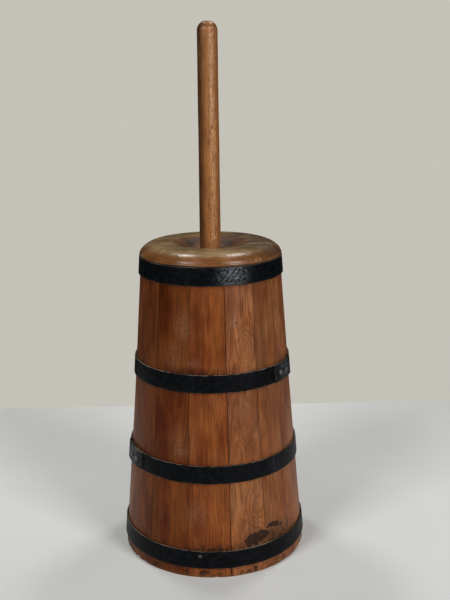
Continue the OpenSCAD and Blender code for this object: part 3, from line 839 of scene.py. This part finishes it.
def lid():
    """The turned lid: plug, bead, rounded shoulder, dished top and the hole for the staff."""
    chips = [at(turn, LID_R, TUB_H + up * MM) for turn, up in ((37.5, 5.5), (42, 5), (-71, 4))]

    def worked(p):
        direction = Vector((p.x, p.y, 0))
        drop = 0.2 * MM * (lumps(direction, 45 * MM, 6) - 0.4) * ease((p.z - TUB_H - 4 * MM) / (8 * MM))
        at_rim = ease((direction.length - 88 * MM) / (6 * MM))
        nick = 0.3 * MM * ease((lumps(p, 7 * MM, 8) - 0.4) / 0.2) * at_rim
        nick += sum(0.6 * MM * ease(1 - (p - chip).length / (2.6 * MM)) for chip in chips)
        scale = 1 - nick / direction.length
        return Vector((p.x * scale, p.y * scale, p.z + min(drop, 0.0)))

    points, faces = turned(lid_outline(), 300, worked)
    piece = new_piece("lid", points, faces, LID_WOOD, LID, ["lid"], 50)
    painted_light_and_chips = []
    for p in points:
        radius = math.hypot(p.x, p.y)
        turned_to = direction_of(p)
        # Where the painted reflection on the crest and the painted shade in the dish go; the right side
        # is darker.
        upper = ease((p.z - TUB_H - 2 * MM) / (4 * MM))
        crest = upper * ease((radius - 46 * MM) / (8 * MM)) * ease((94 * MM - radius) / (9 * MM))
        hollow = upper * ease((56 * MM - radius) / (14 * MM))
        chip = max(ease(1.2 - (p - chip).length / (2.4 * MM)) for chip in chips)
        to_right = 0.95 * upper * ease((turned_to - 30) / 35) * ease((175 - turned_to) / 40)
        painted_light_and_chips.append((crest, max(hollow, to_right), chip))
    give(piece, "painted_light_and_chips", painted_light_and_chips)


def tenon_half(side, around):
    """Half of the split tenon, on one side of the wedge."""
    heights = [STAFF_LOW, STAFF_LOW + WEDGE_H, STAFF_SHOULDER + 0.5 * MM]
    opening = [WEDGE_FOOT / 2, WEDGE_TIP / 2, WEDGE_TIP / 2]
    points = []
    for z, gap in zip(heights, opening):
        reach = math.degrees(math.asin(gap / TENON_R))
        span = 180 - 2 * reach
        for j in range(around):
            points.append(at(side * (reach + span * j / (around - 1)), TENON_R, z))
    faces = skin(3, around, False)
    faces += [tuple(range(around))[::-1], tuple(2 * around + j for j in range(around))]
    return points, faces if side > 0 else [face[::-1] for face in faces]


def staff():
    """The staff: a long taper with hand-worked unevenness, a round end and a split tenon."""
    dome = (STAFF_TOP_R - DOME_R, STAFF_TOP - DOME_R)
    small = 0.8 * MM
    profile = [(0, STAFF_SHOULDER), (TENON_R, STAFF_SHOULDER)]
    profile += arc((STAFF_FOOT_R - small, STAFF_SHOULDER + small), small, -90, 0, 4)
    profile += line(profile[-1], (STAFF_TOP_R, dome[1]), 130)
    profile += arc(dome, DOME_R, 0, 90, 14)
    profile += [(0, STAFF_TOP)]

    def worked(p):
        waver = 0.25 * MM * lumps(Vector((p.x, p.y, p.z * 0.3)), 22 * MM, 11) - 0.16 * MM
        scale = 1 + waver / STAFF_TOP_R
        return Vector((p.x * scale, p.y * scale, p.z))

    points, faces = turned(profile, 72, worked)
    for side in (-1, 1):
        half, half_faces = tenon_half(side, 24)
        faces += [tuple(len(points) + k for k in face) for face in half_faces]
        points += half
    piece = new_piece("staff", points, faces, STAFF_WOOD, DASHER, ["staff"], 45)
    painted_light_and_marks = []
    for p in points:
        turned_to = direction_of(p)
        from_top = (STAFF_TOP - p.z) / MM
        rim = ease(1 - abs(from_top - 5) / 5) * ease((math.hypot(p.x, p.y) / MM - 9) / 3)
        foot = ease(1 - abs(p.z - LID_TOP) / (12 * MM))
        # Painted shade on the left side and painted light on the right side.
        shade = ease(1.15 - abs(turned_to + 75) / 62)
        lit = ease(1.15 - abs(turned_to - 24) / 62)
        painted_light_and_marks.append((shade, lit, max(rim, 0.3 * foot)))
    give(piece, "painted_light_and_marks", painted_light_and_marks)


def eased_copy(node, material, body, radius):
    """A copy of a plain CAD node with its edges rounded."""
    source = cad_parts[node].data
    work = bmesh.new()
    work.from_mesh(source)
    bmesh.ops.remove_doubles(work, verts=work.verts, dist=0.01 * MM)
    bmesh.ops.dissolve_limit(work, angle_limit=math.radians(1), verts=work.verts, edges=work.edges)
    edges = [edge for edge in work.edges if edge.calc_face_angle(0.0) > math.radians(30)]
    bmesh.ops.bevel(
        work, geom=edges, offset=radius, segments=3, profile=0.5, affect="EDGES", clamp_overlap=True
    )
    bmesh.ops.triangulate(work, faces=work.faces)
    points = [v.co.copy() for v in work.verts]
    faces = [tuple(v.index for v in face.verts) for face in work.faces]
    work.free()
    new_piece(node, points, faces, material, body, [node], 35)


# ---------------------------------------------------------------- camera, light and floor


def camera():
    """The photograph's viewpoint, a little above the lid and pitched down."""
    level = Vector((math.cos(EYE_YAW), -math.sin(EYE_YAW), 0))
    forward = Vector((math.sin(EYE_YAW), math.cos(EYE_YAW), 0))
    ahead = forward * math.cos(EYE_PITCH) - Vector((0, 0, math.sin(EYE_PITCH)))
    above = level.cross(ahead)
    right = level * math.cos(EYE_ROLL) + above * math.sin(EYE_ROLL)
    up = above * math.cos(EYE_ROLL) - level * math.sin(EYE_ROLL)
    data = bpy.data.cameras.new("camera")
    data.sensor_width = SENSOR_W
    data.lens = LENS
    eye = bpy.data.objects.new("camera", data)
    eye.matrix_world = Matrix((right, up, -ahead)).transposed().to_4x4()
    eye.location = EYE
    bpy.context.scene.collection.objects.link(eye)
    bpy.context.scene.camera = eye


def softbox(name, degrees, distance, low, high, width, power, colour):
    """A rectangular light, high - low tall and centred between the two, which faces the churn."""
    data = bpy.data.lights.new(name, "AREA")
    data.shape = "RECTANGLE"
    data.size, data.size_y = width, high - low
    data.energy = power
    data.color = colour
    lamp = bpy.data.objects.new(name, data)
    lamp.location = at(degrees, distance, (low + high) / 2)
    lamp.rotation_euler = (LAMPS_FACE - lamp.location).to_track_quat("-Z", "Y").to_euler()
    bpy.context.scene.collection.objects.link(lamp)


def room():
    """A dim room, with a pale backdrop that only the camera sees."""
    world = bpy.data.worlds.new("room")
    world.use_nodes = True
    nodes, links = world.node_tree.nodes, world.node_tree.links
    dim, seen = nodes["Background"], nodes.new("ShaderNodeBackground")
    dim.inputs["Color"].default_value = (0.95, 0.97, 1.0, 1)
    dim.inputs["Strength"].default_value = 0.035
    seen.inputs["Color"].default_value = (0.555, 0.535, 0.480, 1)
    path, both = nodes.new("ShaderNodeLightPath"), nodes.new("ShaderNodeMixShader")
    links.new(path.outputs["Is Camera Ray"], both.inputs[0])
    links.new(dim.outputs[0], both.inputs[1])
    links.new(seen.outputs[0], both.inputs[2])
    links.new(both.outputs[0], nodes["World Output"].inputs["Surface"])
    bpy.context.scene.world = world


def studio_floor():
    """A pale sheet under the churn, as large as a table, with painted light making it lighter towards the
    back.
    """
    paint = Paint("studio_grey")
    place = paint.millimetres()
    soft = paint.noise(place, (0.004, 0.004, 0.004), 2.0)
    # Painted light: the sheet grows paler towards the back.
    painted_light_behind = paint.spread(paint.split(place)[1], -350, 400, 0.0, 0.7)
    pale = paint.calc("MULTIPLY_ADD", soft, 0.5, painted_light_behind)
    colour = paint.mix(pale, (0.72, 0.73, 0.705, 1), (0.92, 0.93, 0.905, 1))
    weave = paint.noise(place, (0.5, 0.5, 0.5), 2.0)
    corners = [(-FLOOR_HALF, FLOOR_FRONT), (FLOOR_HALF, FLOOR_FRONT)]
    corners += [(FLOOR_HALF, FLOOR_BACK), (-FLOOR_HALF, FLOOR_BACK)]
    mesh = bpy.data.meshes.new("studio_floor")
    mesh.from_pydata([(x, y, 0) for x, y in corners], [], [(0, 1, 2, 3)])
    mesh.materials.append(paint.finish(colour, 0.9, weave, 0.1 * MM, 0.2))
    floor = bpy.data.objects.new("studio_floor", mesh)
    bpy.context.scene.collection.objects.link(floor)


# ---------------------------------------------------------------- the churn

STAVE_WOOD = stave_wood()
HOOP_IRON = hoop_iron()
RIVET_IRON = rivet_iron()
LID_WOOD = lid_wood()
STAFF_WOOD = staff_wood()

# Each stave's brightness, paleness, and its log's centre across and into the wood, with its drift. The
# low brightness of the staves left of the front is partly painted shade.
LOOKS = [
    (0.62, 0.00, (-60, 8, 0.006)),
    (0.94, 0.06, (75, 20, 0.010)),
    (1.04, 0.31, (4, 34, 0.055)),
    (0.92, 0.28, (-80, 12, 0.008)),
    (1.00, 0.26, (-2, 26, 0.040)),
    (1.02, 0.10, (70, 8, 0.006)),
    (0.90, 0.05, (5, 40, 0.050)),
    (1.05, 0.20, (-70, 6, 0.010)),
    (0.80, 0.02, (60, 22, 0.015)),
    (1.08, 0.26, (-4, 30, 0.045)),
    (0.94, 0.05, (-64, 10, 0.006)),
    (1.02, 0.15, (66, 14, 0.010)),
    (0.84, 0.04, (2, 36, 0.050)),
    (0.80, 0.10, (-72, 8, 0.008)),
    (0.62, 0.07, (64, 18, 0.010)),
]
for index, (brightness_and_shade, pale, pith) in enumerate(LOOKS, 1):
    stave(index, brightness_and_shade, pale, pith)

for name, (end, side, rivet_name) in HOOPS.items():
    hoop(name, end, side)
    rivets(rivet_name, name, end, side)
nail()
lid()
staff()

BOARD = ((10, -40, 0.02), 3.4, 0.6, 0.2 * MM)
BAR = ((20, 30, 0.03), 3.2, 0.55, 0.2 * MM)
SMALL = ((8, 9, 0.01), 2.6, 0.55, 0.1 * MM)
# Each piece inside: body, slot, the object's axes along its wood, where its grain starts (mm),
# its kind of wood (log's centre, ring spacing, roughness, grain depth) and how far its edges are rounded.
INSIDE = {
    "head_middle": (TUB, "head_wood", "XZY", 0, BOARD, 0.5),
    "head_left": (TUB, "head_wood", "XZY", 400, BOARD, 0.5),
    "head_right": (TUB, "head_wood", "XZY", 800, BOARD, 0.5),
    "foot_bar_lower": (DASHER, "foot_wood", "YZX", 0, BAR, 1.2),
    "foot_bar_upper": (DASHER, "foot_wood", "XZY", 0, BAR, 1.2),
    "head_dowels": (TUB, "foot_wood", "YZX", 0, SMALL, 0.4),
    "foot_wedge": (DASHER, "foot_wood", "XYZ", 0, SMALL, 0.3),
}
for node, (body, slot, axes, start, kind, rounded) in INSIDE.items():
    wood = plain_wood(f"{node}_wood", axes, (0, 0, start), *kind)
    eased_copy(node, wood, body, rounded * MM)

camera()
room()
for name, settings in LAMPS.items():
    softbox(name, *settings)
studio_floor()
bpy.context.scene.view_settings.view_transform = "Standard"
